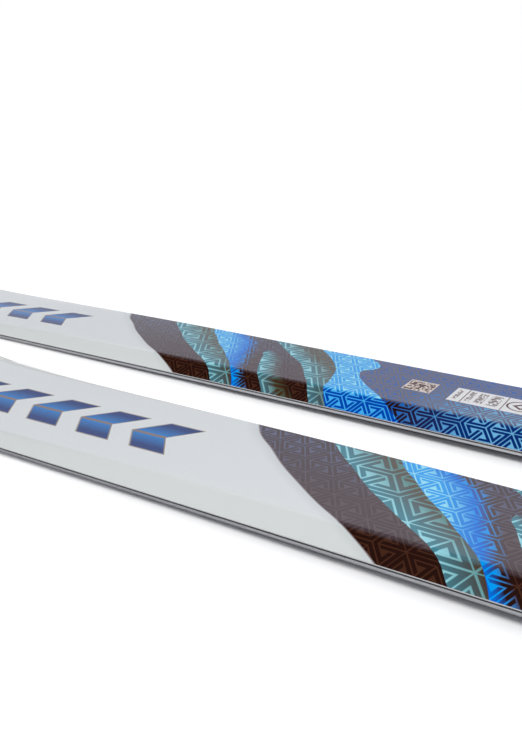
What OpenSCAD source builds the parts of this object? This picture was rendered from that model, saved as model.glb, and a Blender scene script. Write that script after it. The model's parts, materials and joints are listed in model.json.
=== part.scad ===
// A pair of wide, steel-edged cross country skis of cap construction, laid flat side by side.
// Each ski is a bonded stack: running base, steel edges, rubber strips, fibreglass, wood core,
// binding reinforcement, a fibreglass cap and a printed topsheet.
// Frame: +X towards the tips, +Y towards the left ski, +Z up. The origin is on the floor,
// under the middle of the pair. Inside one ski, s is the distance from its tail.

/* [Plan outline] */
// Length of one ski, from tail to tip
ski_length = 1800; // [1800:10:1850]
// Greatest width, at the shovel
shovel_width = 123.5; // [118:0.5:128]
// Least width, under the foot
waist_width = 101; // [96:0.5:106]
// Greatest width near the tail
tail_width = 115; // [110:0.5:120]
// Distance of the waist from the tail
waist_at = 900; // [860:10:940]
// Length over which the tip rounds off
tip_round = 150; // [140:5:160]
// Length over which the tail rounds off
tail_round = 40; // [36:1:44]

/* [Side profile] */
// Height of the camber arch when the ski carries nothing
camber = 3; // [2:0.5:6]
// Tail end of the running surface
tail_contact = 140; // [120:10:160]
// Tip end of the running surface
tip_contact = 1540; // [1530:5:1550]
// Radius of the gentle rise before the tip
rocker_radius = 6000; // [5000:100:8000]
// Where the tip starts to turn up
tip_bend_at = 1630; // [1610:5:1630]
// Radius of the turned-up tip
tip_radius = 330; // [300:10:400]
// Radius of the tail's slight rise
tail_radius = 1200; // [1000:50:1500]
// Thickness under the foot
middle_thickness = 14.6; // [14:0.1:16]
// Thickness at the tip
tip_thickness = 5.2; // [5:0.1:5.6]
// Thickness at the tail
tail_thickness = 5.8; // [5.4:0.1:6.2]

/* [Layers] */
// Thickness of the running base
base_t = 1.3; // [1.2:0.1:1.5]
// Width of the steel that shows underneath
edge_w = 2; // [1.8:0.1:2.2]
// Height of the steel that shows on the side
edge_h = 1.9; // [1.8:0.1:2]
// How far the steel edge's anchor flange reaches in
flange_reach = 6; // [5:0.5:7]
// Thickness of the rubber strip over the steel
strip_t = 0.8; // [0.6:0.1:0.9]
// Thickness of the lower laminate over the base and over the strips
lower_t = 0.5; // [0.4:0.1:0.6]
// Thickness of the upper laminate
upper_t = 0.8; // [0.6:0.1:0.8]
// Thickness of the topsheet
sheet_t = 0.5; // [0.4:0.1:0.5]
// Thickness of the binding plate
plate_t = 0.8; // [0.6:0.1:1]

/* [Cap shape] */
// Radius of the soft crease between the flat top and the sloped side
crease_radius = 4; // [3:0.5:5]
// Height of the topsheet's upright lower lip
lip_h = 0.6; // [0.4:0.1:0.8]
// Width of the sloped side per millimetre of ski thickness
slope_rate = 0.42; // [0.4:0.01:0.46]
// Width of the sloped side on a ski with no thickness
slope_least = 5; // [4.6:0.1:5.4]

/* [Binding zone] */
// Tail end of the flat binding zone
zone_from = 720; // [710:5:730]
// Tip end of the flat binding zone
zone_to = 960; // [950:5:970]
// How far the binding plate runs past the zone at each end
plate_past = 100; // [90:5:110]
// Width of the binding plate
plate_w = 60; // [56:1:64]
// Width of the middle core stringer
centre_w = 20; // [16:1:24]

/* [Laying out the pair] */
// Distance between the centre lines of the two skis
spacing = 166; // [150:1:200]
// How far the right ski lies ahead of the left one
stagger = 240; // [0:10:300]

/* [Hidden] */
// Tip and tail are blunt: the outline is a superellipse with this exponent.
tip_power = 2.4;
tail_power = 3.5;
// Length cut off the point of the superellipse, so that the end has a width
end_trim = 0.3;
// Share of the cap's height left at the very end of the ski
end_height_share = 0.3;
// Straight part of the thickness that is lost from the binding zone to each end
front_straight = 3.1;
rear_straight = 2.6;
// Stretches where the rest of the thickness is lost
front_taper = [1300, 1680];
rear_taper = [430, 60];
// Where the wood core ends and the spacers begin
core_from = tail_contact;
core_to = 1600;
// A sheet on the slope takes this much width per millimetre of thickness: at its foot, at the crease
foot_factor = 1.4;
crease_factor = 0.4;
// Narrowest share of the width that the flat top keeps where the slope wraps around an end
least_flat_share = 0.2;
// Greatest share of the half flat, and of the slope, that the crease's arc may take
crease_share = 0.4;
// Two pieces that wrap around an end stay this far from the centre line, so that they don't merge
mitre_gap = 0.02;
// Length of the step at each end of the binding plate
plate_step = 0.3;
// Thickness of the lower laminate where it climbs from the base onto the edge strips
climb_t = 0.8;

shovel_at = ski_length - tip_round;
plate_from = zone_from - plate_past;
plate_to = zone_to + plate_past;
contact_middle = (tail_contact + tip_contact) / 2;
contact_half = (tip_contact - tail_contact) / 2;
end_slope_run = slope_least + slope_rate * tip_thickness;

// Stations along the ski where every layer has a section. They are shared, so neighbouring
// layers meet face to face. There are none inside the binding zone, which is therefore flat.
tail_stations = [end_trim, 1, 2.2, 4, 7, 12, 18, 25, tail_round];
body_stations = [
    90, tail_contact, 220, 310, 410, 510, plate_from - plate_step, plate_from,
    zone_from, zone_to, plate_to, plate_to + plate_step, 1140, 1210, 1270, 1330, 1390, 1450,
    1500, tip_contact, 1570, core_to, tip_bend_at, shovel_at
];
tip_stations = [
    for (left = [135, 120, 105, 90, 76, 63, 51, 40, 31, 23, 16, 11, 7, 4, 2.2, 1, end_trim])
        ski_length - left
];
stations = concat(tail_stations, body_stations, tip_stations);
// The innermost layers stop this far from the ends of the ski
inner_end = 7;
base_end = 2.2;

PIECES = [
    "topsheet", "upper_laminate", "binding_plate",
    "core_outside", "core_outside_mid", "core_centre", "core_inside_mid", "core_inside",
    "tip_spacer", "tail_spacer", "lower_laminate",
    "outside_edge_strip", "inside_edge_strip", "outside_edge", "inside_edge", "base"
];

// Share of the way from a to b, held between 0 and 1
function share(s, a, b) = min(max((s - a) / (b - a), 0), 1);
// The same with a soft start and end
function soft(t) = t * t * (3 - 2 * t);

// Half the width on the long sidecut curves
function sidecut(s) = let (
        to_end = s > waist_at ? shovel_at - waist_at : waist_at - tail_round,
        widest = s > waist_at ? shovel_width : tail_width
    )
    waist_width / 2 + (widest - waist_width) / 2 * pow((s - waist_at) / to_end, 2);

// Half the width of a rounded end, u being the share of its length
function rounded(u, power) = u >= 1 ? 0 : pow(1 - pow(u, power), 1 / power);

// Half the width of the outline moved in by inset all round
function half_width(s, inset = 0) =
    s > shovel_at
        ? (sidecut(shovel_at) - inset) * rounded((s - shovel_at) / (tip_round - inset), tip_power)
    : s < tail_round
        ? (sidecut(tail_round) - inset) * rounded((tail_round - s) / (tail_round - inset), tail_power)
    : sidecut(s) - inset;

// Height of the underside above the floor
function base_height(s) = let (v = (s - contact_middle) / contact_half)
    (abs(v) < 1 ? camber * pow(1 - v * v, 2) : 0)
    + pow(max(s - tip_contact, 0), 2) / (2 * rocker_radius)
    + pow(max(s - tip_bend_at, 0), 2) / (2 * tip_radius)
    + pow(max(tail_contact - s, 0), 2) / (2 * tail_radius);

// Upright height of a layer one millimetre thick, which grows where the ski slopes
function rise(s) = sqrt(1 + pow(base_height(s + 0.5) - base_height(s - 0.5), 2));

function thickness(s) =
    middle_thickness
    - front_straight * share(s, zone_to, front_taper[1])
    - (middle_thickness - front_straight - tip_thickness) * soft(share(s, front_taper[0], front_taper[1]))
    - rear_straight * share(s, zone_from, rear_taper[1])
    - (middle_thickness - rear_straight - tail_thickness) * soft(share(s, rear_taper[0], rear_taper[1]));

// Levels of the layers
function base_top(s) = base_height(s) + rise(s) * base_t;
function edge_top(s) = base_height(s) + rise(s) * edge_h;
function strip_top(s) = base_height(s) + rise(s) * (edge_h + strip_t);

// Near an end the cap comes down with the slope that wraps around it
function end_share(s) = max(min(1, min(s, ski_length - s) / end_slope_run), end_height_share);
function cap_level(s, above_strip) = strip_top(s) + rise(s) * end_share(s) * above_strip;
function cap_height(s) = thickness(s) - edge_h - strip_t;
// Upper face of the lower laminate: between the edges, and over the edge strips
function floor_level(s) = base_top(s) + rise(s) * lower_t;
function lower_top(s) = cap_level(s, lower_t);
// Top of the cap with layers of total thickness t taken off
function top_under(s, t = 0) = cap_level(s, cap_height(s) - t);

// Width of the sloped side, half the width of the flat top, and half the width at the slope's foot
function slope_run(s) = slope_least + slope_rate * thickness(s);
function flat_half(s, t = 0) =
    max(half_width(s, slope_run(s)), least_flat_share * half_width(s)) - crease_factor * t * end_share(s);
function foot_half(s, t = 0) = half_width(s) - foot_factor * t * end_share(s);

// Half the width at the lower laminate's top, on the inside of the cap
function lower_half(s) = let (t = sheet_t + upper_t)
    foot_half(s, t) + (flat_half(s, t) - foot_half(s, t)) * lower_t / (cap_height(s) - t);

// Left and right half outlines joined, from the right foot over the top to the left foot
function mirrored(half) = concat(half, [for (i = [len(half) - 1 : -1 : 0]) [-half[i].x, half[i].y]]);
function backwards(points) = [for (i = [len(points) - 1 : -1 : 0]) points[i]];
// Outline of a piece on one side of the ski: 1 is +Y, -1 is -Y
function on_side(points, side) =
    side > 0 ? points : backwards([for (p = points) [-p.x, p.y]]);

// The crease as an arc of three points between slope and flat
function crease(s) = let (
        corner = [flat_half(s), top_under(s)],
        foot = [half_width(s), cap_level(s, lip_h)],
        angle = atan2(corner.y - foot.y, foot.x - corner.x),
        widest = crease_share * min(flat_half(s), norm(foot - corner)),
        reach = min(crease_radius * tan(angle / 2), widest),
        dip = reach * (1 - cos(angle / 2)) / sin(angle / 2)
    )
    [
        corner + reach * [cos(angle), -sin(angle)],
        corner - dip * [sin(angle / 2), cos(angle / 2)],
        corner - [reach, 0]
    ];

// Sections, as points [y, z] that run anticlockwise when seen from the tip
function base_section(s) = mirrored([
    [half_width(s, edge_w), base_height(s)],
    [half_width(s, edge_w), base_top(s)]
]);

function flange_half(s) = max(half_width(s, flange_reach), mitre_gap);
function edge_inner(s) = max(half_width(s, edge_w), 2 * mitre_gap);

function edge_section(s) = [
    [edge_inner(s), base_height(s)],
    [half_width(s), base_height(s)],
    [half_width(s), edge_top(s)],
    [flange_half(s), edge_top(s)],
    [flange_half(s), base_top(s)],
    [edge_inner(s), base_top(s)]
];

function strip_section(s) = [
    [flange_half(s), edge_top(s)],
    [half_width(s), edge_top(s)],
    [half_width(s), strip_top(s)],
    [flange_half(s), strip_top(s)]
];

// The lower laminate is a shallow tray: it lies on the base and climbs onto the edge strips.
function lower_section(s) = mirrored([
    [flange_half(s), base_top(s)],
    [flange_half(s), strip_top(s)],
    [foot_half(s, sheet_t + upper_t), strip_top(s)],
    [lower_half(s), lower_top(s)],
    [tray_half(s), lower_top(s)],
    [tray_half(s), floor_level(s)]
]);

function tray_half(s) = flange_half(s) - climb_t;
// Side of the core from the bottom of its rabbet to the crease
function rabbet_points(s) = [[tray_half(s), floor_level(s)], [tray_half(s), lower_top(s)]];
function core_points(s) = let (t = sheet_t + upper_t)
    [[lower_half(s), lower_top(s)], [flat_half(s, t), top_under(s, t)]];

function upper_section(s) = let (t = sheet_t + upper_t) concat(
    mirrored([[foot_half(s, sheet_t), strip_top(s)], [flat_half(s, sheet_t), top_under(s, sheet_t)]]),
    backwards(mirrored(concat([[foot_half(s, t), strip_top(s)]], core_points(s))))
);

function sheet_section(s) = concat(
    mirrored(concat([[half_width(s), strip_top(s)], [half_width(s), cap_level(s, lip_h)]], crease(s))),
    backwards(mirrored([
        [foot_half(s, sheet_t), strip_top(s)],
        [flat_half(s, sheet_t), top_under(s, sheet_t)]
    ]))
);

// Top of the three middle stringers, which make room for the binding plate
function core_top(s) =
    top_under(s, sheet_t + upper_t) - (s >= plate_from && s <= plate_to ? plate_t : 0);

function stringer_section(s, from, to) = [
    [from, floor_level(s)], [to, floor_level(s)], [to, core_top(s)], [from, core_top(s)]
];

// The outer stringers are rabbeted to sit over the steel edges.
function outer_stringer_section(s) = let (t = sheet_t + upper_t) concat(
    [[plate_w / 2, floor_level(s)]],
    rabbet_points(s),
    core_points(s),
    [[plate_w / 2, top_under(s, t)]]
);

function plate_section(s) = let (top = top_under(s, sheet_t + upper_t))
    mirrored([[plate_w / 2, top - plate_t], [plate_w / 2, top]]);

function between(a, b) = [for (s = stations) if (s >= a && s <= b) s];

// The side of a loft is split into triangles along the diagonal that starts at the lower y
// (or lower z) of the nearer section, so that two layers that meet there share their triangles.
function comes_first(p, q) = p.x != q.x ? p.x < q.x : p.y < q.y;

// ends lists the convex pieces that an end face is split into, by point number.
module loft(stretch, sections, ends = []) {
    count = len(sections[0]);
    last = len(sections) - 1;
    points = [for (i = [0 : last]) for (p = sections[i]) [stretch[i], p.x, p.y]];
    sides = [
        for (i = [0 : last - 1]) for (j = [0 : count - 1])
            let (
                k = (j + 1) % count,
                a = i * count + j,
                b = i * count + k,
                c = a + count,
                d = b + count
            )
            each comes_first(sections[i][j], sections[i][k])
                ? [[a, d, b], [a, c, d]]
                : [[a, c, b], [c, d, b]]
    ];
    tail_faces = len(ends) > 0 ? ends : [[for (j = [0 : count - 1]) j]];
    tip_faces = [for (face = tail_faces) [for (j = backwards(face)) last * count + j]];
    polyhedron(points, concat(tail_faces, tip_faces, sides));
}

module running_base() {
    at = between(base_end, ski_length - base_end);
    color("#1d1f22") loft(at, [for (s = at) base_section(s)]);
}

module steel_edge(side) {
    color("#c3c6c9") loft(stations, [for (s = stations) on_side(edge_section(s), side)]);
}

module rubber_strip(side) {
    color("#2b2b2d") loft(stations, [for (s = stations) on_side(strip_section(s), side)]);
}

module lower_laminate() {
    at = between(inner_end, ski_length - inner_end);
    ends = [[0, 5, 6, 11], [0, 1, 4, 5], [1, 2, 3, 4], [11, 6, 7, 10], [10, 7, 8, 9]];
    color("#b9b58e") loft(at, [for (s = at) lower_section(s)], ends);
}

module stringer(from, to, tint) {
    at = between(core_from, core_to);
    color(tint) loft(at, [for (s = at) stringer_section(s, from, to)]);
}

module outer_stringer(side) {
    at = between(core_from, core_to);
    color("#c79a62") loft(at, [for (s = at) on_side(outer_stringer_section(s), side)]);
}

module spacer(from, to) {
    at = between(from, to);
    ends = [[0, 1, 6, 7], [1, 2, 3], [1, 3, 4, 6], [4, 5, 6]];
    color("#e4e2d8") loft(at, [for (s = at) mirrored(concat(rabbet_points(s), core_points(s)))], ends);
}

module binding_plate() {
    at = between(plate_from, plate_to);
    color("#9aa3ab") loft(at, [for (s = at) plate_section(s)]);
}

module upper_laminate() {
    at = between(base_end, ski_length - base_end);
    ends = [[0, 1, 8, 9], [1, 7, 8], [1, 2, 6, 7], [2, 5, 6], [2, 3, 4, 5]];
    color("#8a8f7a") loft(at, [for (s = at) upper_section(s)], ends);
}

module topsheet() {
    ends = [
        [0, 1, 2, 12, 13], [2, 3, 12], [3, 4, 12], [4, 5, 11, 12],
        [5, 6, 11], [6, 7, 11], [7, 8, 9, 10, 11]
    ];
    color("#5d86b8") loft(stations, [for (s = stations) sheet_section(s)], ends);
}

module inner_stringer(side) {
    edges = [centre_w / 2, plate_w / 2] * side;
    stringer(min(edges), max(edges), "#e0c08a");
}

module centre_stringer() {
    stringer(-centre_w / 2, centre_w / 2, "#b98a55");
}

module tip_spacer() {
    spacer(core_to, ski_length - inner_end);
}

module tail_spacer() {
    spacer(inner_end, core_from);
}

module in_left_ski() {
    translate([-(ski_length + stagger) / 2, spacing / 2, 0]) children();
}

module in_right_ski() {
    translate([(stagger - ski_length) / 2, -spacing / 2, 0]) children();
}

in_left_ski() topsheet();  // left_ski_topsheet
in_left_ski() upper_laminate();  // left_ski_upper_laminate
in_left_ski() binding_plate();  // left_ski_binding_plate
in_left_ski() outer_stringer(1);  // left_ski_core_outside
in_left_ski() inner_stringer(1);  // left_ski_core_outside_mid
in_left_ski() centre_stringer();  // left_ski_core_centre
in_left_ski() inner_stringer(-1);  // left_ski_core_inside_mid
in_left_ski() outer_stringer(-1);  // left_ski_core_inside
in_left_ski() tip_spacer();  // left_ski_tip_spacer
in_left_ski() tail_spacer();  // left_ski_tail_spacer
in_left_ski() lower_laminate();  // left_ski_lower_laminate
in_left_ski() rubber_strip(1);  // left_ski_outside_edge_strip
in_left_ski() rubber_strip(-1);  // left_ski_inside_edge_strip
in_left_ski() steel_edge(1);  // left_ski_outside_edge
in_left_ski() steel_edge(-1);  // left_ski_inside_edge
in_left_ski() running_base();  // left_ski_base
in_right_ski() topsheet();  // right_ski_topsheet
in_right_ski() upper_laminate();  // right_ski_upper_laminate
in_right_ski() binding_plate();  // right_ski_binding_plate
in_right_ski() outer_stringer(-1);  // right_ski_core_outside
in_right_ski() inner_stringer(-1);  // right_ski_core_outside_mid
in_right_ski() centre_stringer();  // right_ski_core_centre
in_right_ski() inner_stringer(1);  // right_ski_core_inside_mid
in_right_ski() outer_stringer(1);  // right_ski_core_inside
in_right_ski() tip_spacer();  // right_ski_tip_spacer
in_right_ski() tail_spacer();  // right_ski_tail_spacer
in_right_ski() lower_laminate();  // right_ski_lower_laminate
in_right_ski() rubber_strip(-1);  // right_ski_outside_edge_strip
in_right_ski() rubber_strip(1);  // right_ski_inside_edge_strip
in_right_ski() steel_edge(-1);  // right_ski_outside_edge
in_right_ski() steel_edge(1);  // right_ski_inside_edge
in_right_ski() running_base();  // right_ski_base
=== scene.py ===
"""A pair of wide, steel-edged cross country skis, seen from above the left one's front half.

The outer layers of each ski are built here as dense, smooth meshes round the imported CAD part:
topsheet, steel edges, rubber strips and running base. The layers inside stay CAD nodes.
Everything is in metres. Inside one ski, s is the distance from its tail.
"""

import json
import math

import bmesh
import bpy
import numpy as np
from mathutils import Matrix, Vector


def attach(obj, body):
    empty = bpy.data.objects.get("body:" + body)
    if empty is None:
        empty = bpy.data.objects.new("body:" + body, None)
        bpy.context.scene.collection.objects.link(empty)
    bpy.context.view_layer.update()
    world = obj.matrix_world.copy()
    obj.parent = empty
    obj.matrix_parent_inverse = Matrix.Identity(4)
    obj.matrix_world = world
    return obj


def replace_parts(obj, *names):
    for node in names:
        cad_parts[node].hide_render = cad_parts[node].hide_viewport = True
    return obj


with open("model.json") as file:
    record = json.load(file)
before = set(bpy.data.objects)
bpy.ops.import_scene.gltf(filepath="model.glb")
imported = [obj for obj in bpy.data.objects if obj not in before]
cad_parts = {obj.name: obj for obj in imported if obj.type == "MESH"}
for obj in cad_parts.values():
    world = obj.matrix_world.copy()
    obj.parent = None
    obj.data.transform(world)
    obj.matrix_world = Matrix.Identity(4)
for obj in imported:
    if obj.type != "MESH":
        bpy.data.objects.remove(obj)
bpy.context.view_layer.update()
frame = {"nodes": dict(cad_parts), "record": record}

MM = 0.001

# ---------------------------------------------------------------- the ski's shape, as in the CAD
LENGTH = 1.8
SHOVEL_WIDTH, WAIST_WIDTH, TAIL_WIDTH = 0.1235, 0.101, 0.115
WAIST_AT = 0.9
TIP_ROUND, TAIL_ROUND = 0.15, 0.04
TIP_POWER, TAIL_POWER = 2.4, 3.5
SHOVEL_AT = LENGTH - TIP_ROUND
CAMBER = 3 * MM
TAIL_CONTACT, TIP_CONTACT = 0.14, 1.54
ROCKER_RADIUS, TIP_RADIUS, TAIL_RADIUS = 6.0, 0.33, 1.2
TIP_BEND_AT = 1.63
MIDDLE_THICKNESS, TIP_THICKNESS, TAIL_THICKNESS = 14.6 * MM, 5.2 * MM, 5.8 * MM
FRONT_STRAIGHT, REAR_STRAIGHT = 3.1 * MM, 2.6 * MM
ZONE_FROM, ZONE_TO = 0.72, 0.96
FRONT_TAPER, REAR_TAPER = (1.3, 1.68), (0.43, 0.06)
BASE_T, EDGE_W, EDGE_H, FLANGE, STRIP_T = 1.3 * MM, 2 * MM, 1.9 * MM, 6 * MM, 0.8 * MM
CAP_FROM = EDGE_H + STRIP_T
SHEET_T, SHEET_FOOT, LIP_H, CREASE_RADIUS = 0.5 * MM, 0.7 * MM, 0.6 * MM, 4 * MM
SLOPE_RATE, SLOPE_LEAST = 0.42, 5 * MM
SPACING, STAGGER = 0.166, 0.24
END_TRIM = 0.3 * MM

SKIS = {
    "left_ski": (-(LENGTH + STAGGER) / 2, SPACING / 2, {1: "outside", -1: "inside"}),
    "right_ski": ((STAGGER - LENGTH) / 2, -SPACING / 2, {1: "inside", -1: "outside"}),
}


def share(s, a, b):
    return np.clip((s - a) / (b - a), 0, 1)


def soft(t):
    return t * t * (3 - 2 * t)


def sidecut(s):
    to_end = np.where(s > WAIST_AT, SHOVEL_AT - WAIST_AT, WAIST_AT - TAIL_ROUND)
    widest = np.where(s > WAIST_AT, SHOVEL_WIDTH, TAIL_WIDTH)
    return WAIST_WIDTH / 2 + (widest - WAIST_WIDTH) / 2 * ((s - WAIST_AT) / to_end) ** 2


def base_height(s):
    middle, half = (TAIL_CONTACT + TIP_CONTACT) / 2, (TIP_CONTACT - TAIL_CONTACT) / 2
    arch = CAMBER * np.clip(1 - ((s - middle) / half) ** 2, 0, 1) ** 2
    rocker = np.maximum(s - TIP_CONTACT, 0) ** 2 / (2 * ROCKER_RADIUS)
    tip = np.maximum(s - TIP_BEND_AT, 0) ** 2 / (2 * TIP_RADIUS)
    tail = np.maximum(TAIL_CONTACT - s, 0) ** 2 / (2 * TAIL_RADIUS)
    return arch + rocker + tip + tail


def rise(s):
    """Upright height of a layer of thickness 1, which grows where the ski slopes."""
    step = 0.5 * MM
    return np.sqrt(1 + ((base_height(s + step) - base_height(s - step)) / (2 * step)) ** 2)


def thickness(s):
    front = MIDDLE_THICKNESS - FRONT_STRAIGHT - TIP_THICKNESS
    rear = MIDDLE_THICKNESS - REAR_STRAIGHT - TAIL_THICKNESS
    return (
        MIDDLE_THICKNESS
        - FRONT_STRAIGHT * share(s, ZONE_TO, FRONT_TAPER[1])
        - front * soft(share(s, *FRONT_TAPER))
        - REAR_STRAIGHT * share(s, ZONE_FROM, REAR_TAPER[1])
        - rear * soft(share(s, *REAR_TAPER))
    )


def outline(body_step):
    """Points (s, y) of one side's outline, from the middle of the tail to the middle of the tip."""
    turns = np.linspace(0, math.pi / 2, 37)
    tail_s = TAIL_ROUND - TAIL_ROUND * np.sin(turns[::-1]) ** (2 / TAIL_POWER)
    tail_y = sidecut(TAIL_ROUND) * np.cos(turns[::-1]) ** (2 / TAIL_POWER)
    tip_s = SHOVEL_AT + TIP_ROUND * np.sin(turns) ** (2 / TIP_POWER)
    tip_y = sidecut(SHOVEL_AT) * np.cos(turns) ** (2 / TIP_POWER)
    count = round((SHOVEL_AT - TAIL_ROUND) / body_step)
    body_s = np.linspace(TAIL_ROUND, SHOVEL_AT, count + 1)[1:-1]
    s = np.concatenate([tail_s, body_s, tip_s])
    y = np.concatenate([tail_y, sidecut(body_s), tip_y])
    y[0] = y[-1] = 0
    return np.clip(s, END_TRIM, LENGTH - END_TRIM), y


def inward(s, y):
    """Unit vectors that point into the ski, square to the outline."""
    ds, dy = np.gradient(s), np.gradient(y)
    ds[0] = ds[-1] = 0
    size = np.hypot(ds, dy)
    return dy / size, -ds / size


def inset(s, y, ns, ny, by):
    """The outline moved in by that much, which never crosses the centre line."""
    return s + ns * by, np.maximum(y + ny * by, 0)


# ---------------------------------------------------------------- mesh building
def make_object(name, vertices, faces, slots, face_slots=None, attributes=None, sharp=35):
    mesh = bpy.data.meshes.new(name)
    mesh.from_pydata([tuple(v) for v in vertices], [], faces)
    for attribute, values in (attributes or {}).items():
        made = mesh.attributes.new(attribute, "FLOAT_VECTOR", "POINT")
        made.data.foreach_set("vector", np.asarray(values, np.float32).ravel())
    for material in slots:
        mesh.materials.append(material)
    if face_slots is not None:
        mesh.polygons.foreach_set("material_index", face_slots)
    mesh.validate()
    merge(mesh)
    mesh.polygons.foreach_set("use_smooth", [True] * len(mesh.polygons))
    mesh.set_sharp_from_angle(angle=math.radians(sharp))
    obj = bpy.data.objects.new(name, mesh)
    bpy.context.scene.collection.objects.link(obj)
    return obj


def merge(mesh):
    """Joins the points that meet on the centre line and turns all faces outwards."""
    bm = bmesh.new()
    bm.from_mesh(mesh)
    bmesh.ops.remove_doubles(bm, verts=bm.verts, dist=2e-6)
    bmesh.ops.dissolve_degenerate(bm, edges=bm.edges, dist=1e-7)
    bmesh.ops.recalc_face_normals(bm, faces=bm.faces)
    bm.to_mesh(mesh)
    bm.free()


def ring_faces(rows, columns, closed=False, start=0):
    """Quads between the rows of a grid of points. Closed joins the last column to the first."""
    faces = []
    for i in range(rows - 1):
        for j in range(columns if closed else columns - 1):
            a, b = i * columns + j, i * columns + (j + 1) % columns
            faces.append([start + k for k in (a, b, b + columns, a + columns)])
    return faces


def sweep(name, ski, side, profile, material):
    """A bar of constant section along one side. The profile is points (inset, height)."""
    x0, y0, _ = SKIS[ski]
    s, y = outline(12 * MM)
    ns, ny = inward(s, y)
    rows = []
    for by, height in profile:
        ps, py = inset(s, y, ns, ny, by)
        rows.append(np.stack([ps, py, base_height(ps) + rise(ps) * height], -1))
    points = np.stack(rows, 1)
    count, columns = points.shape[:2]
    flat = points.reshape(-1, 3)
    along = flat.copy()
    vertices = flat * [1, side, 1] + [x0, y0, 0]
    faces = ring_faces(count, columns, closed=True)
    faces.append(list(range(columns)))
    faces.append([(count - 1) * columns + j for j in range(columns)])
    obj = make_object(name, vertices, faces, [material], attributes={"ski": along})
    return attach(obj, ski)


def bend(d, foot, corner, radius):
    """Height at inset d of a slope from foot to corner that turns into a flat by an arc."""
    angle = np.arctan2(corner[1] - foot[1], corner[0] - foot[0])
    reach = radius * np.tan(angle / 2)
    straight = foot[1] + (d - foot[0]) * np.tan(angle)
    over = np.clip(corner[0] + reach - d, 0, radius)
    arc = corner[1] - radius + np.sqrt(radius**2 - over**2)
    past_slope = np.where(over > 0, arc, corner[1])
    return np.where(d < corner[0] - reach * np.cos(angle), straight, past_slope)


# The print stretches over the crease, so a length on the sloped side takes more of it.
PRINT_STRETCH = 1.3


def cap_shape(s):
    """Width of the sloped side, height of the cap, and the slope's angle."""
    run = SLOPE_LEAST + SLOPE_RATE * thickness(s)
    cap = thickness(s) - CAP_FROM
    return run, cap, np.arctan2(cap - LIP_H, run)


def sheet_points(s, y, ns, ny, inner):
    """Rows of points across half the topsheet's outer or inner face, from rim to centre line."""
    run, cap, angle = cap_shape(s)
    if inner:
        foot, corner, radius = (SHEET_FOOT, 0), (run + 0.2 * MM, cap - SHEET_T), 3 * MM
    else:
        foot, corner, radius = (0, LIP_H), (run, cap), CREASE_RADIUS
    reach = radius * np.tan(np.arctan2(corner[1] - foot[1], corner[0] - foot[0]) / 2)
    arc_from = corner[0] - reach * np.cos(angle)
    arc_to = corner[0] + reach
    insets = [foot[0] + (arc_from - foot[0]) * t for t in np.linspace(0, 1, 6)]
    insets += [arc_from + (arc_to - arc_from) * t for t in np.linspace(0, 1, 11)[1:]]
    places = [(*inset(s, y, ns, ny, by), by) for by in insets]
    edge_s, edge_y, _ = places[-1]
    places += [(edge_s, edge_y * t, np.full_like(s, 1)) for t in np.linspace(1, 0, 8)[1:]]
    rows = []
    for ps, py, by in places:
        height = CAP_FROM + bend(by, foot, corner, radius)
        print_y = py + (PRINT_STRETCH / np.cos(angle) - 1) * np.maximum(run - by, 0)
        rows.append(np.stack([ps, py, base_height(ps) + rise(ps) * height, print_y], -1))
    return rows


def topsheet(ski, print_material, edge_material):
    x0, y0, _ = SKIS[ski]
    s, y = outline(10 * MM)
    ns, ny = inward(s, y)
    outer = sheet_points(s, y, ns, ny, inner=False)
    inner = sheet_points(s, y, ns, ny, inner=True)
    foot_height = base_height(s) + rise(s) * CAP_FROM
    rim_outer = np.stack([s, y, foot_height, outer[0][:, 3]], -1)
    rows = outer[::-1] + [rim_outer] + inner
    columns = len(rows)
    points = np.stack(rows, 1)
    vertices, prints, faces, slots = [], [], [], []
    for side in (1, -1):
        start = len(vertices)
        flat = points.reshape(-1, 4)
        vertices += list(flat[:, :3] * [1, side, 1] + [x0, y0, 0])
        prints += list(np.stack([flat[:, 0], side * flat[:, 3], np.zeros(len(flat))], -1))
        made = ring_faces(len(s), columns, start=start)
        faces += made
        slots += [0 if k % (columns - 1) < len(outer) - 1 else 1 for k in range(len(made))]
    obj = make_object(
        ski + "_topsheet_skin",
        vertices,
        faces,
        [print_material, edge_material],
        slots,
        {"ski": prints},
    )
    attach(obj, ski)
    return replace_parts(obj, ski + "_topsheet")


SCALES_FROM, SCALES_TO = 0.62, 1.12
SCALE_LENGTH, SCALE_WIDTH, SCALE_DEPTH, SCALE_BOW = 16 * MM, 11 * MM, 0.35 * MM, 5 * MM
SCALES_HALF, SCALES_FADE, SCALES_SIDE_FADE = 36 * MM, 8 * MM, 1.5 * MM


def scale_depth(s, y):
    """How deep the traction scales are cut: ramps with bowed fronts, in staggered columns."""
    column = np.floor(y / SCALE_WIDTH + 0.5)
    in_cell = y / SCALE_WIDTH - column
    shifted = s + (column % 2) * SCALE_LENGTH / 2 + SCALE_BOW * 4 * in_cell**2
    ramp = (shifted / SCALE_LENGTH) % 1
    inside = soft(share(s, SCALES_FROM, SCALES_FROM + SCALES_FADE))
    inside = inside * soft(share(s, SCALES_TO, SCALES_TO - SCALES_FADE))
    inside = inside * soft(share(np.abs(y), SCALES_HALF + SCALES_SIDE_FADE, SCALES_HALF))
    return SCALE_DEPTH * ramp * inside


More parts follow.
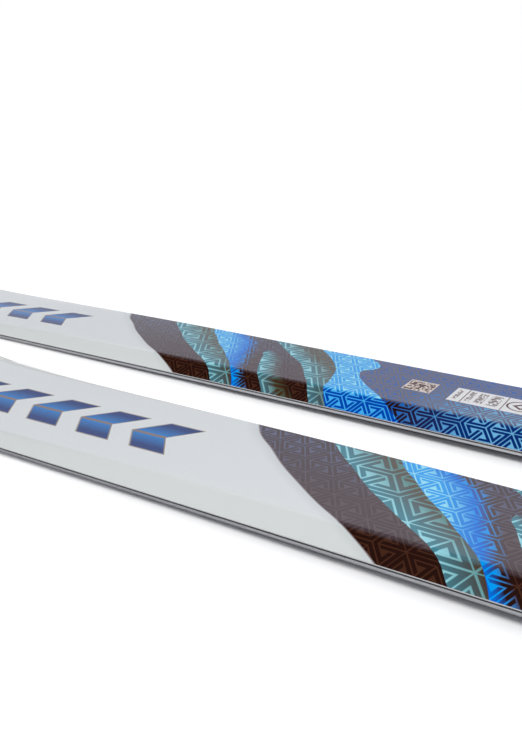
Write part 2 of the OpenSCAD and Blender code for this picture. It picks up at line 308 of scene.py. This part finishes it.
def running_base(ski, material):
    x0, y0, _ = SKIS[ski]
    s, y = outline(1.6 * MM)
    ns, ny = inward(s, y)
    fine_ends, coarse_step = 40, 8
    keep = [
        i
        for i in range(len(s))
        if i < fine_ends
        or i > len(s) - fine_ends
        or i % coarse_step == 0
        or SCALES_FROM < s[i] < SCALES_TO
    ]
    s, y, ns, ny = s[keep], y[keep], ns[keep], ny[keep]
    rim_s, rim_y = inset(s, y, ns, ny, EDGE_W)
    across = np.linspace(1, -1, 57)
    rows = []
    for t in across:
        py = rim_y * t
        z = base_height(rim_s) + scale_depth(rim_s, py)
        rows.append(np.stack([rim_s, py, z], -1))
    for t in (-1, 1):
        rows.append(np.stack([rim_s, rim_y * t, base_height(rim_s) + rise(rim_s) * BASE_T], -1))
    points = np.stack(rows, 1)
    columns = len(rows)
    flat = points.reshape(-1, 3)
    obj = make_object(
        ski + "_base_skin",
        flat + [x0, y0, 0],
        ring_faces(len(s), columns, closed=True),
        [material],
        attributes={"ski": flat},
        sharp=20,
    )
    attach(obj, ski)
    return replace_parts(obj, ski + "_base")


# ---------------------------------------------------------------- shader building
class Graph:
    """A material's node tree, with short names for the nodes used here."""

    def __init__(self, name):
        self.material = bpy.data.materials.new(name)
        self.material.use_nodes = True
        self.tree = self.material.node_tree
        self.shader = self.tree.nodes["Principled BSDF"]

    def node(self, kind, **settings):
        made = self.tree.nodes.new("ShaderNode" + kind)
        for key, value in settings.items():
            setattr(made, key, value)
        return made

    def put(self, socket, value):
        if isinstance(value, Number):
            self.tree.links.new(value.socket, socket)
        elif isinstance(value, bpy.types.NodeSocket):
            self.tree.links.new(value, socket)
        elif socket.type == "RGBA":
            socket.default_value = (*value, 1)
        else:
            socket.default_value = value

    def math(self, operation, *values, clamp=False):
        made = self.node("Math", operation=operation, use_clamp=clamp)
        for socket, value in zip(made.inputs, values):
            self.put(socket, value)
        return Number(self, made.outputs[0])

    def ski(self):
        """Place along and across the ski, in metres: s, and y unrolled over the sloped side."""
        made = self.node("Attribute", attribute_name="ski")
        parts = self.node("SeparateXYZ")
        self.tree.links.new(made.outputs["Vector"], parts.inputs[0])
        return [Number(self, socket) for socket in parts.outputs]

    def vector(self, x, y, z=0.0):
        made = self.node("CombineXYZ")
        for socket, value in zip(made.inputs, (x, y, z)):
            self.put(socket, value)
        return made.outputs[0]

    def noise(self, vector, scale, detail=3.0, roughness=0.5):
        made = self.node("TexNoise")
        self.put(made.inputs["Vector"], vector)
        self.put(made.inputs["Scale"], scale)
        self.put(made.inputs["Detail"], detail)
        self.put(made.inputs["Roughness"], roughness)
        return Number(self, made.outputs[0])

    def random(self, vector):
        made = self.node("TexWhiteNoise", noise_dimensions="3D")
        self.put(made.inputs["Vector"], vector)
        return Number(self, made.outputs["Value"])

    def mix(self, factor, a, b):
        """Colour a where factor is 0, and b where it is 1."""
        made = self.node("Mix", data_type="RGBA", clamp_factor=True)
        self.put(made.inputs["Factor"], factor)
        self.put(made.inputs[6], a)
        self.put(made.inputs[7], b)
        return made.outputs[2]

    def curve(self, x, points, low, high):
        """A smooth curve through points (x, y), both in millimetres, y within low and high."""
        made = self.node("FloatCurve")
        first, last = points[0][0], points[-1][0]
        line = made.mapping.curves[0]
        for i, (px, py) in enumerate(points):
            place = ((px - first) / (last - first), (py - low) / (high - low))
            if i in (0, len(points) - 1):
                line.points[0 if i == 0 else -1].location = place
            else:
                line.points.new(*place)
        made.mapping.extend = "HORIZONTAL"
        made.mapping.update()
        self.put(made.inputs["Value"], (x - first * MM) / ((last - first) * MM))
        return (Number(self, made.outputs[0]) * (high - low) + low) * MM

    def bump(self, height, distance, strength=1.0):
        made = self.node("Bump")
        self.put(made.inputs["Height"], height)
        self.put(made.inputs["Distance"], distance)
        self.put(made.inputs["Strength"], strength)
        return made.outputs[0]


class Number:
    """A value in a Graph, so that sums read as sums."""

    def __init__(self, graph, socket):
        self.graph, self.socket = graph, socket

    def __add__(self, other):
        return self.graph.math("ADD", self, other)

    def __sub__(self, other):
        return self.graph.math("SUBTRACT", self, other)

    def __rsub__(self, other):
        return self.graph.math("SUBTRACT", other, self)

    def __mul__(self, other):
        return self.graph.math("MULTIPLY", self, other)

    __rmul__ = __mul__

    def __truediv__(self, other):
        return self.graph.math("DIVIDE", self, other)

    def floor(self):
        return self.graph.math("FLOOR", self)

    def abs(self):
        return self.graph.math("ABSOLUTE", self)

    def modulo(self, by):
        return self.graph.math("FLOORED_MODULO", self, by)

    def power(self, by):
        return self.graph.math("POWER", self, by)

    def most(self, other):
        return self.graph.math("MAXIMUM", self, other)

    def above(self, edge, blur):
        """1 where the value is over edge, 0 where it is under, and a ramp of width blur between."""
        return self.graph.math("ADD", (self - edge) / blur, 0.5, clamp=True)

    def below(self, edge, blur):
        return 1 - self.above(edge, blur)

    def near(self, centre, half, blur):
        return (self - centre).abs().below(half, blur)

    def is_number(self, whole):
        return self.graph.math("COMPARE", self, float(whole), 0.1)


def key_pattern(g, s, y, side, row, star):
    """Light lines of a triangular key pattern: 1 on a line or a filled core, 0 between them.

    The plane is a net of triangles. Every point of the net is a star, a first fork or a second
    fork, in turn, and each triangle has one of each. a, b and c say how near the point is to
    the triangle's star, first fork and second fork: they are 1 there and 0 on the far edge.
    """
    blur, line, thin = 0.02, 0.028, 0.018
    along = (star[0] * MM - s) / (side * MM)
    down = (y - star[1] * MM) / (row * MM)
    steps = [along - down / 2, down, 0 - along - down / 2]
    floors = [h.floor() for h in steps]
    parts = [h - f for h, f in zip(steps, floors)]
    flip = (floors[0] + floors[1] + floors[2]).is_number(-2)
    weights = [(p - flip).abs() for p in parts]
    turn = 1 - 2 * flip
    kind = floors[0] - floors[1]
    kinds = [(kind + turn).modulo(3), (kind - turn).modulo(3), kind.modulo(3)]

    def nearness(which):
        found = [w * k.is_number(which) for w, k in zip(weights, kinds)]
        return found[0] + found[1] + found[2]

    a, b, c = nearness(0), nearness(1), nearness(2)
    arm = 0.19
    star_to_first = c.below(thin, blur)
    second_to_first = a.below(line, blur) * c.above(arm - line, blur)
    star_to_second = b.below(line, blur) * a.above(arm - line, blur)
    first_arm = c.near(arm, line, blur) * b.above(arm - line, blur)
    second_arm = a.near(arm, line, blur) * c.above(2 * arm - line, blur)
    turn_in = b.near(arm, line, blur) * a.above(arm, blur)
    turn_in = turn_in * c.above(arm, blur) * c.below(2 * arm, blur)
    core = a.above(arm - line, blur) * b.above(arm - line, blur) * c.above(2 * arm - line, blur)
    out = star_to_first
    for other in (second_to_first, star_to_second, first_arm, second_arm, turn_in, core):
        out = out.most(other)
    return out


# Edges of the printed waves: points (y, s) in millimetres, y unrolled across the ski.
WAVES = {
    "white": [(-64, 1416), (-45, 1401), (-31, 1391), (-16, 1375), (0, 1359), (16, 1340),
              (31, 1321), (43, 1303), (51, 1292), (60, 1281), (64, 1277)],
    "teal": [(-64, 1364), (-46, 1350), (-28, 1335), (-16, 1323), (0, 1308), (12, 1294),
             (24, 1280), (42, 1258), (49, 1252), (60, 1246), (64, 1243)],
    "blue": [(-64, 1322), (-43, 1306), (-32, 1299), (-22, 1290), (-6, 1277), (7, 1264),
             (19, 1254), (31, 1243), (42, 1235), (50, 1231), (64, 1226)],
    "blue_end": [(-64, 1294), (-48, 1280), (-33, 1265), (-26, 1258), (-15, 1252), (0, 1246),
                 (14, 1241), (29, 1235), (42, 1231), (64, 1220)],
    "leaf": [(-64, 1180), (-16, 1228), (-9, 1234), (4, 1229), (21, 1222), (37, 1214),
             (46, 1209), (64, 1199)],
    "leaf_end": [(-64, 1300), (-12, 1233), (2, 1218), (16, 1210), (32, 1201), (42, 1194),
                 (64, 1176)],
    "teal_2": [(-64, 1262), (-43, 1244), (-37, 1238), (-24, 1225), (-11, 1212), (1, 1198),
               (14, 1188), (27, 1180), (42, 1170), (48, 1168), (64, 1161)],
    "blue_2": [(-64, 1216), (-41, 1200), (-34, 1193), (-22, 1182), (-8, 1172), (6, 1165),
               (17, 1162), (29, 1159), (42, 1157), (64, 1148)],
    "middle": [(-64, 1165), (-49, 1153), (-41, 1155), (-33, 1147), (-24, 1142), (-16, 1143),
               (-8, 1149), (2, 1147), (17, 1137), (31, 1123), (42, 1112), (64, 1092)],
}
# The rear half's print mirrors the front half's about this place.
MIRROR_AT = 0.79
# Nets of triangles: side along the ski, row height across it, and the place (s, y) of one star,
# all in millimetres.
SMALL_NET = (16.85, 15.6, (1267.75, -13.5))
TAIL_NET = (16.8, 15.6, (1074.2, 46.8))
LARGE_NET = (26.35, 23.4, (1275.6, 25.25))
# The print's crease between flat top and side: its y at CREASE_AT, and how much that grows with s.
CREASE_AT, CREASE_Y, CREASE_DRIFT = 1240 * MM, 43.3 * MM, 0.016

# Painted shade: each colour named for the sloped side is a darker copy of the flat top's colour.
BROWN, DUSK = (0.075, 0.050, 0.056), (0.135, 0.130, 0.170)
BROWN_LINE = (0.120, 0.088, 0.092)
SHADED_SIDE_BROWN, SHADED_SIDE_BROWN_LINE = (0.021, 0.006, 0.004), (0.070, 0.025, 0.013)
VIOLET_LINE = (0.13, 0.16, 0.28)
SILVER, SHADED_SIDE_SILVER = (0.80, 0.835, 0.84), (0.70, 0.73, 0.715)
TEAL, TEAL_LINE = (0.06, 0.25, 0.32), (0.34, 0.74, 0.84)
OLIVE, OLIVE_LINE = (0.105, 0.085, 0.065), (0.11, 0.16, 0.14)
SHADED_SIDE_OLIVE, SHADED_SIDE_OLIVE_LINE = (0.070, 0.033, 0.012), (0.075, 0.115, 0.08)
BLUE, BLUE_LINE = (0.02, 0.40, 0.96), (0.31, 0.80, 1.0)
DEEP, DEEP_LINE = (0.0, 0.16, 0.74), (0.0, 0.33, 0.90)
SHADED_SIDE_BLUE, SHADED_SIDE_BLUE_LINE = (0.0, 0.065, 0.45), (0.06, 0.45, 0.90)
NAVY, NAVY_LINE = (0.115, 0.140, 0.25), (0.16, 0.47, 0.75)
SHADED_SIDE_NAVY = (0.002, 0.028, 0.17)
INK = (0.10, 0.045, 0.035)
PAPER, BLOCK_PAPER = (0.86, 0.86, 0.87), (0.78, 0.68, 0.61)
FIRST_TEAL_LINE, DARK_LINE = (0.11, 0.27, 0.26), (0.01, 0.11, 0.45)
SEAM_SHADE, SEAM_LINE, SILVER_WEAVE = (0.33, 0.38, 0.44), (0.16, 0.09, 0.10), (0.40, 0.43, 0.45)
CHEVRON_RIM = (0.16, 0.08, 0.055)
CHEVRON_DARK, CHEVRON_LIGHT = (0.004, 0.04, 0.20), (0.015, 0.22, 0.62)


def wave(g, y, name):
    points = WAVES[name]
    return g.curve(y, points, min(p[1] for p in points) - 5, max(p[1] for p in points) + 5)


def print_colour(g, s, y):
    """The topsheet's printed picture, and painted shade: darker colours on the sloped side."""
    mirrored = (s - MIRROR_AT).abs() + MIRROR_AT
    small = key_pattern(g, mirrored, y, *SMALL_NET)
    tail_small = key_pattern(g, mirrored, y, *TAIL_NET)
    large = key_pattern(g, mirrored, y, *LARGE_NET)
    edge = {name: wave(g, y, name) for name in WAVES}
    sharp = 0.25 * MM

    # Painted shade: the sloped side gets darker copies of the print's colours.
    shaded_side = (y.abs() - (mirrored - CREASE_AT) * CREASE_DRIFT).above(CREASE_Y, 3 * MM)
    brown_line = g.mix(y.above(-8 * MM, 50 * MM), VIOLET_LINE, BROWN_LINE)
    brown_line = g.mix(shaded_side, brown_line, SHADED_SIDE_BROWN_LINE)
    colour = g.mix(small * 0.8, g.mix(shaded_side, BROWN, SHADED_SIDE_BROWN), brown_line)
    olive = g.mix(shaded_side, OLIVE, SHADED_SIDE_OLIVE)
    olive_line = g.mix(shaded_side, OLIVE_LINE, SHADED_SIDE_OLIVE_LINE)

    def teal_band(colour, start, end, fade, end_blur, last_line):
        inside = mirrored.below(start, sharp) * mirrored.above(end, end_blur)
        # Painted shade: on the sloped side the teal turns to olive sooner.
        faded = (start - mirrored + shaded_side * (fade * 0.32)).above(fade * 0.52, fade * 0.85)
        ground = g.mix(faded, TEAL, olive)
        lines = g.mix(faded, TEAL_LINE, last_line)
        return g.mix(inside, colour, g.mix(large, ground, lines))

    colour = teal_band(colour, edge["teal"], edge["blue"], 34 * MM, sharp, FIRST_TEAL_LINE)
    colour = teal_band(colour, edge["leaf"], edge["leaf_end"], 22 * MM, 12 * MM, olive_line)
    colour = teal_band(colour, edge["teal_2"], edge["blue_2"], 28 * MM, sharp, olive_line)

    inside = mirrored.below(edge["blue"], sharp) * mirrored.above(edge["blue_end"], 7 * MM)
    lines_end = mirrored.above(edge["blue_end"] - 5 * MM, 8 * MM)
    lines_inside = mirrored.below(edge["blue"], sharp) * lines_end
    faded = (mirrored - edge["blue_end"]).below(12 * MM, 16 * MM)
    colour = g.mix(inside, colour, g.mix(faded, BLUE, DEEP))
    colour = g.mix(lines_inside * small, colour, g.mix(faded, BLUE_LINE, DEEP_LINE))

    ground = g.mix(shaded_side, BLUE, SHADED_SIDE_BLUE)
    lines = g.mix(shaded_side, BLUE_LINE, SHADED_SIDE_BLUE_LINE)
    second = g.mix(tail_small, ground, lines)
    colour = g.mix(mirrored.below(edge["blue_2"], sharp), colour, second)

    navy_share = mirrored.below(1078 * MM, 45 * MM)
    bright_share = mirrored.below(1072 * MM, 60 * MM) * y.above(5 * MM, 50 * MM)
    ground = g.mix(navy_share, g.mix(shaded_side, DUSK, SHADED_SIDE_BROWN), g.mix(shaded_side, NAVY, SHADED_SIDE_NAVY))
    lines = g.mix(bright_share, DARK_LINE, NAVY_LINE)
    middle = g.mix(tail_small, ground, lines)
    colour = g.mix(mirrored.below(edge["middle"], sharp), colour, middle)

    seam = mirrored - edge["white"]
    # Painted shade: the silver is darker on the sloped side.
    white = g.mix(shaded_side, SILVER, SHADED_SIDE_SILVER)
    white = g.mix(seam.below(4 * MM, 14 * MM) * 0.3, white, SEAM_SHADE)
    white = g.mix(seam.near(0.4 * MM, 0.7 * MM, 0.8 * MM) * 0.8, white, SEAM_LINE)
    weave = g.noise(g.vector(s * 900, y * 2600), 1.0, 2.0)
    white = g.mix((weave - 0.5) * 0.16 + 0.04, white, SILVER_WEAVE)
    white = chevrons(g, s, y, white)
    colour = g.mix(seam.above(0, sharp), colour, white)
    colour = block_square(g, s, y, colour)
    return label(g, s, y, colour)


def chevrons(g, s, y, ground):
    """A plain row of chevrons that point to the tip."""
    first, count, pitch, tall, thick = 1437 * MM, 5, 42 * MM, 20 * MM, 24 * MM
    centre, gap, slant = 4 * MM, 1.4 * MM, 0.7
    sharp, rim, glow = 0.4 * MM, 1.1 * MM, 1.2 * MM
    from_centre = (y - centre).abs()
    along = s - first + from_centre * slant
    in_row = along.above(0, sharp) * along.below(count * pitch, sharp)
    inside = from_centre.below(tall, sharp) * in_row
    phase = along.modulo(pitch)
    cut = from_centre.above(gap, sharp)
    fill = phase.near(thick / 2 + rim, thick / 2, sharp) * inside * cut
    outer = phase.near(thick / 2 + rim, thick / 2 + rim, glow) * from_centre.below(tall + rim, glow)
    outer = outer * in_row
    blue = g.mix((y - centre).near(0, 8 * MM, 14 * MM), CHEVRON_DARK, CHEVRON_LIGHT)
    return g.mix(fill, g.mix(outer * 0.85, ground, CHEVRON_RIM), blue)


def box_mask(s, y, s_mid, y_mid, s_half, y_half, blur=0.15):
    """1 inside a box on the print, all sizes in millimetres."""
    in_length = s.near(s_mid * MM, s_half * MM, blur * MM)
    return in_length * y.near(y_mid * MM, y_half * MM, blur * MM)


def block_square(g, s, y, colour):
    """A square of random blocks, which stands for a printed code."""
    cell = 1.4 * MM
    value = g.random(g.vector((s / cell).floor(), (y / cell).floor(), 3.0))
    blocks = g.mix(value.above(0.45, 0.01), BLOCK_PAPER, INK)
    s_mid = 1100.3
    colour = g.mix(box_mask(s, y, s_mid, 0.8, 10.3, 11.4), colour, BLOCK_PAPER)
    return g.mix(box_mask(s, y, s_mid, 1.0, 9.4, 10.2), colour, blocks)


# The label's columns of blocks: (middle in s, half width in s, length of one block)
LABEL_COLUMNS = [(1072.5, 1.5, 2.2), (1063.7, 1.8, 1.8), (1056.3, 2.9, 2.6), (1047, 3.6, 3.4)]
LABEL_RULES = [1067.4, 1040.2]


def label(g, s, y, colour):
    """A pale label with rules, columns of blocks for small print, and a ringed diamond."""
    s_mid, y_mid, ring_s = 1045.5, 2.5, 1029
    colour = g.mix(box_mask(s, y, s_mid, y_mid, 31, 14.6), colour, PAPER)
    for rule in LABEL_RULES:
        colour = g.mix(box_mask(s, y, rule, y_mid, 0.35, 14.2), colour, INK)
    for i, (middle, half, length) in enumerate(LABEL_COLUMNS):
        cells = (y / (length * MM)).floor()
        gaps = (y / (length * MM)).modulo(1).near(0.5, 0.36, 0.05)
        bars = g.random(g.vector(cells, (s / (0.9 * MM)).floor(), float(i))).above(0.25, 0.01)
        strength = box_mask(s, y, middle, y_mid - 1, half, 10.4) * gaps * bars
        colour = g.mix(strength * 0.95, colour, INK)
    across, along = y / MM - y_mid, s / MM - ring_s
    radius = (across * across + along * along).power(0.5)
    ring = radius.near(9.2, 0.7, 0.2)
    diamond = (across.abs() + along.abs()).near(4.6, 1.5, 0.3)
    return g.mix(ring.most(diamond), colour, INK)


def topsheet_material():
    g = Graph("printed_topsheet")
    s, y, _ = g.ski()
    g.put(g.shader.inputs["Base Color"], print_colour(g, s, y))
    scuffs = g.noise(g.vector(s * 260, y * 900), 1.0, 4.0)
    g.put(g.shader.inputs["Roughness"], scuffs * 0.08 + 0.22)
    g.shader.inputs["Specular IOR Level"].default_value = 0.1
    g.shader.inputs["Coat Weight"].default_value = 0.5
    g.shader.inputs["Coat Roughness"].default_value = 0.05
    ripple = g.noise(g.vector(s * 45, y * 160), 1.0, 2.0)
    g.put(g.shader.inputs["Coat Normal"], g.bump(ripple, 0.00006, 0.35))
    return g.material


def cut_edge_material():
    g = Graph("topsheet_cut_edge")
    s, y, z = g.ski()
    grain = g.noise(g.vector(s * 700, y * 700, z * 4000), 1.0, 3.0)
    g.put(g.shader.inputs["Base Color"], g.mix(grain, (0.34, 0.35, 0.36), (0.58, 0.59, 0.60)))
    g.put(g.shader.inputs["Roughness"], grain * 0.2 + 0.35)
    return g.material


def steel_material():
    g = Graph("ground_steel")
    s, y, z = g.ski()
    grind = g.noise(g.vector(s * 60, y * 9000, z * 9000), 1.0, 3.0)
    patches = g.noise(g.vector(s * 30, y * 30, z * 30), 1.0, 3.0)
    g.put(g.shader.inputs["Base Color"], g.mix(patches, (0.46, 0.47, 0.49), (0.60, 0.61, 0.63)))
    g.shader.inputs["Metallic"].default_value = 1
    g.put(g.shader.inputs["Roughness"], grind * 0.16 + 0.22)
    g.put(g.shader.inputs["Normal"], g.bump(grind, 0.00002, 0.6))
    return g.material


def rubber_material():
    g = Graph("edge_rubber")
    s, y, z = g.ski()
    grain = g.noise(g.vector(s * 900, y * 900, z * 3000), 1.0, 3.0)
    g.put(g.shader.inputs["Base Color"], g.mix(grain, (0.012, 0.012, 0.013), (0.05, 0.05, 0.052)))
    g.put(g.shader.inputs["Roughness"], grain * 0.2 + 0.5)
    return g.material


def base_material():
    g = Graph("running_base")
    s, y, _ = g.ski()
    structure = g.noise(g.vector(s * 25, y * 5200), 1.0, 2.0)
    cloud = g.noise(g.vector(s * 14, y * 60), 1.0, 3.0)
    g.put(g.shader.inputs["Base Color"], g.mix(cloud, (0.014, 0.015, 0.018), (0.034, 0.036, 0.041)))
    g.put(g.shader.inputs["Roughness"], structure * 0.18 + 0.28)
    g.put(g.shader.inputs["Normal"], g.bump(structure, 0.00003, 0.7))
    return g.material


def object_point(g):
    made = g.node("TexCoord")
    parts = g.node("SeparateXYZ")
    g.tree.links.new(made.outputs["Object"], parts.inputs[0])
    return [Number(g, socket) for socket in parts.outputs]


def wood_material(name, light, dark, coarse):
    g = Graph(name)
    x, y, z = object_point(g)
    rings = g.noise(g.vector(x * 5, y * coarse, z * coarse), 1.0, 5.0, 0.6)
    pores = g.noise(g.vector(x * 60, y * 2600, z * 2600), 1.0, 2.0)
    colour = g.mix(rings.above(0.5, 0.35), light, dark)
    g.put(g.shader.inputs["Base Color"], g.mix(pores.above(0.62, 0.1) * 0.5, colour, dark))
    g.put(g.shader.inputs["Roughness"], rings * 0.2 + 0.5)
    g.put(g.shader.inputs["Normal"], g.bump(pores, 0.0001, 0.4))
    return g.material


def fibreglass_material():
    g = Graph("fibreglass")
    x, y, _ = object_point(g)
    pitch = 2 * MM
    warp = ((x + y) / pitch).modulo(1).near(0.5, 0.25, 0.3)
    weft = ((x - y) / pitch).modulo(1).near(0.5, 0.25, 0.3)
    weave = (warp - weft).abs()
    g.put(g.shader.inputs["Base Color"], g.mix(weave, (0.36, 0.38, 0.27), (0.56, 0.58, 0.44)))
    g.put(g.shader.inputs["Roughness"], weave * 0.2 + 0.3)
    g.put(g.shader.inputs["Normal"], g.bump(weave, 0.0001, 0.5))
    return g.material


def moulded_material():
    g = Graph("moulded_spacer")
    x, y, z = object_point(g)
    mottle = g.noise(g.vector(x * 40, y * 40, z * 40), 1.0, 4.0)
    fine = g.noise(g.vector(x * 1500, y * 1500, z * 1500), 1.0, 2.0)
    g.put(g.shader.inputs["Base Color"], g.mix(mottle, (0.72, 0.70, 0.64), (0.85, 0.83, 0.77)))
    g.put(g.shader.inputs["Roughness"], fine * 0.2 + 0.4)
    g.put(g.shader.inputs["Normal"], g.bump(fine, 0.00005, 0.4))
    return g.material


def plate_material():
    g = Graph("brushed_plate")
    x, y, z = object_point(g)
    brush = g.noise(g.vector(x * 40, y * 5000, z * 5000), 1.0, 3.0)
    g.put(g.shader.inputs["Base Color"], g.mix(brush, (0.55, 0.57, 0.60), (0.70, 0.72, 0.75)))
    g.shader.inputs["Metallic"].default_value = 1
    g.put(g.shader.inputs["Roughness"], brush * 0.2 + 0.3)
    g.put(g.shader.inputs["Normal"], g.bump(brush, 0.00002, 0.5))
    return g.material


# ---------------------------------------------------------------- the skis
EDGE_PROFILE = [
    (0.15 * MM, 0), (EDGE_W, 0), (EDGE_W, BASE_T), (FLANGE, BASE_T), (FLANGE, EDGE_H),
    (0.12 * MM, EDGE_H), (0, EDGE_H - 0.12 * MM), (0, 0.15 * MM),
]
STRIP_PROFILE = [
    (FLANGE, EDGE_H), (FLANGE, CAP_FROM), (0.25 * MM, CAP_FROM), (0.12 * MM, CAP_FROM - 0.2 * MM),
    (0.12 * MM, EDGE_H + 0.2 * MM), (0.25 * MM, EDGE_H),
]

sheet_print, sheet_edge = topsheet_material(), cut_edge_material()
steel, rubber, polyethylene = steel_material(), rubber_material(), base_material()
for ski, (_, _, names) in SKIS.items():
    topsheet(ski, sheet_print, sheet_edge)
    running_base(ski, polyethylene)
    for side, name in names.items():
        node = f"{ski}_{name}_edge"
        edge = sweep(node + "_steel", ski, side, EDGE_PROFILE, steel)
        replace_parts(edge, node)
        strip = sweep(node + "_rubber", ski, side, STRIP_PROFILE, rubber)
        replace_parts(strip, node + "_strip")

INNER = {
    "fibreglass": fibreglass_material(),
    "binding_plate": plate_material(),
    "ash": wood_material("ash", (0.72, 0.53, 0.33), (0.48, 0.31, 0.17), 260),
    "poplar": wood_material("poplar", (0.82, 0.71, 0.50), (0.66, 0.53, 0.34), 180),
    "beech": wood_material("beech", (0.64, 0.42, 0.25), (0.46, 0.27, 0.15), 320),
    "spacer": moulded_material(),
}
slot_of = {part["node"]: part["material_slot"] for part in frame["record"]["subparts"]}
for node, obj in frame["nodes"].items():
    if slot_of[node] in INNER:
        for slot in obj.material_slots:
            slot.material = INNER[slot_of[node]]


# ---------------------------------------------------------------- studio, light and camera
def studio():
    """A white floor that runs to the horizon."""
    g = Graph("studio_white")
    x, y, z = object_point(g)
    mottle = g.noise(g.vector(x * 3, y * 3, z * 3), 1.0, 2.0)
    white = g.mix(mottle, (0.955, 0.955, 0.955), (0.965, 0.965, 0.965))
    g.put(g.shader.inputs["Base Color"], white)
    g.shader.inputs["Roughness"].default_value = 1
    g.shader.inputs["Specular IOR Level"].default_value = 0
    rings, steps = [0, 0.5, 2, 8, 30, 120, 500], 48
    vertices = []
    for r in rings:
        for k in range(steps):
            turn = 2 * math.pi * k / steps
            vertices.append((r * math.cos(turn), r * math.sin(turn), 0))
    mesh = bpy.data.meshes.new("studio")
    mesh.from_pydata(vertices, [], ring_faces(len(rings), steps, closed=True))
    merge(mesh)
    mesh.materials.append(g.material)
    obj = bpy.data.objects.new("studio", mesh)
    bpy.context.scene.collection.objects.link(obj)
    return obj


def soft_light(name, towards, spread, power, lit):
    """Even light from one direction, as soft as a lamp that many degrees wide, on some objects."""
    light = bpy.data.lights.new(name, "SUN")
    light.angle = math.radians(spread)
    light.energy = power
    obj = bpy.data.objects.new(name, light)
    obj.rotation_mode = "QUATERNION"
    obj.rotation_quaternion = (-Vector(towards)).to_track_quat("-Z", "Y")
    bpy.context.scene.collection.objects.link(obj)
    obj.light_linking.receiver_collection = lit


def world_light():
    """A bright band round the horizon under a dim ceiling."""
    world = bpy.data.worlds.new("sky")
    bpy.context.scene.world = world
    world.use_nodes = True
    nodes, links = world.node_tree.nodes, world.node_tree.links
    place = nodes.new("ShaderNodeTexCoord")
    parts = nodes.new("ShaderNodeSeparateXYZ")
    ramp = nodes.new("ShaderNodeValToRGB")
    links.new(place.outputs["Generated"], parts.inputs[0])
    links.new(parts.outputs["Z"], ramp.inputs["Fac"])
    links.new(ramp.outputs["Color"], nodes["Background"].inputs["Color"])
    stops = [
        (0.0, (1.0, 1.0, 1.0)), (0.14, (1.0, 1.0, 1.0)), (0.2, (0.43, 0.45, 0.51)),
        (0.29, (0.36, 0.37, 0.43)), (0.39, (0.54, 0.55, 0.62)), (0.49, (0.88, 0.88, 0.96)),
        (0.56, (0.22, 0.22, 0.23)), (0.65, (0.0, 0.0, 0.0)),
    ]
    ramp.color_ramp.elements[0].position = stops[0][0]
    ramp.color_ramp.elements[1].position = stops[-1][0]
    for where, _ in stops[1:-1]:
        ramp.color_ramp.elements.new(where)
    for element, (_, colour) in zip(ramp.color_ramp.elements, stops):
        element.color = (*colour, 1)


def group(name, objects):
    made = bpy.data.collections.new(name)
    for obj in objects:
        made.objects.link(obj)
    return made


def camera(place, heading, pitch, roll, lens):
    """Heading turns the view from -Y towards +X, pitch tips it down, all in degrees."""
    h, p, r = (math.radians(v) for v in (heading, pitch, roll))
    ahead = Vector((math.cos(p) * math.sin(h), -math.cos(p) * math.cos(h), -math.sin(p)))
    level = ahead.cross(Vector((0, 0, 1))).normalized()
    over = level.cross(ahead)
    right = level * math.cos(r) + over * math.sin(r)
    up = over * math.cos(r) - level * math.sin(r)
    data = bpy.data.cameras.new("camera")
    data.lens = lens
    data.clip_start, data.clip_end = 0.01, 100
    obj = bpy.data.objects.new("camera", data)
    obj.matrix_world = Matrix.Translation(place) @ Matrix((right, up, -ahead)).transposed().to_4x4()
    bpy.context.scene.collection.objects.link(obj)
    bpy.context.scene.camera = obj


skis = group("skis", [obj for obj in bpy.data.objects if obj.type == "MESH"])
floor = group("floor", [studio()])
world_light()
soft_light("over_the_back", (-0.10, -0.66, 0.70), 60, 4.4, floor)
soft_light("over_the_front", (-0.45, 0.60, 0.72), 45, 1.8, skis)
soft_light("fill", (-0.40, -0.55, 0.73), 50, 1.25, skis)
camera((0.1411, 0.4482, 0.2046), 30.40, 17.89, 2.10, 40.23)
bpy.context.scene.view_settings.view_transform = "Standard"
